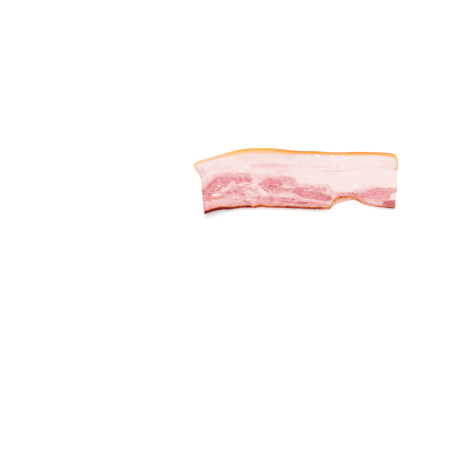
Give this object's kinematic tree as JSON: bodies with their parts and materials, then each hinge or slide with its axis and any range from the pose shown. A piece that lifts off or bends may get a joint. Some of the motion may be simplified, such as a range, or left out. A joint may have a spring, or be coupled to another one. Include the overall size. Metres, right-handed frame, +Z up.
{
  "type": "bacon slice",
  "caption": "Long thin slice of raw smoked pork belly, lying flat, with an amber rind along one edge, a broad band of fat, marbled lean and a browned, notched near edge.",
  "frame": {"origin": "middle of the bounding box, on the surface that the slice lies on", "axes": "+X along the slice to the end beside the notch, +Y across it to the rind, +Z up"},
  "size_m": [0.1798, 0.0633, 0.0057],
  "materials": {
    "cured_pork": "moist, softly glossy"
  },
  "bodies": {
    "root": {"bacon_slice": "cured_pork"}
  },
  "joints": []
}
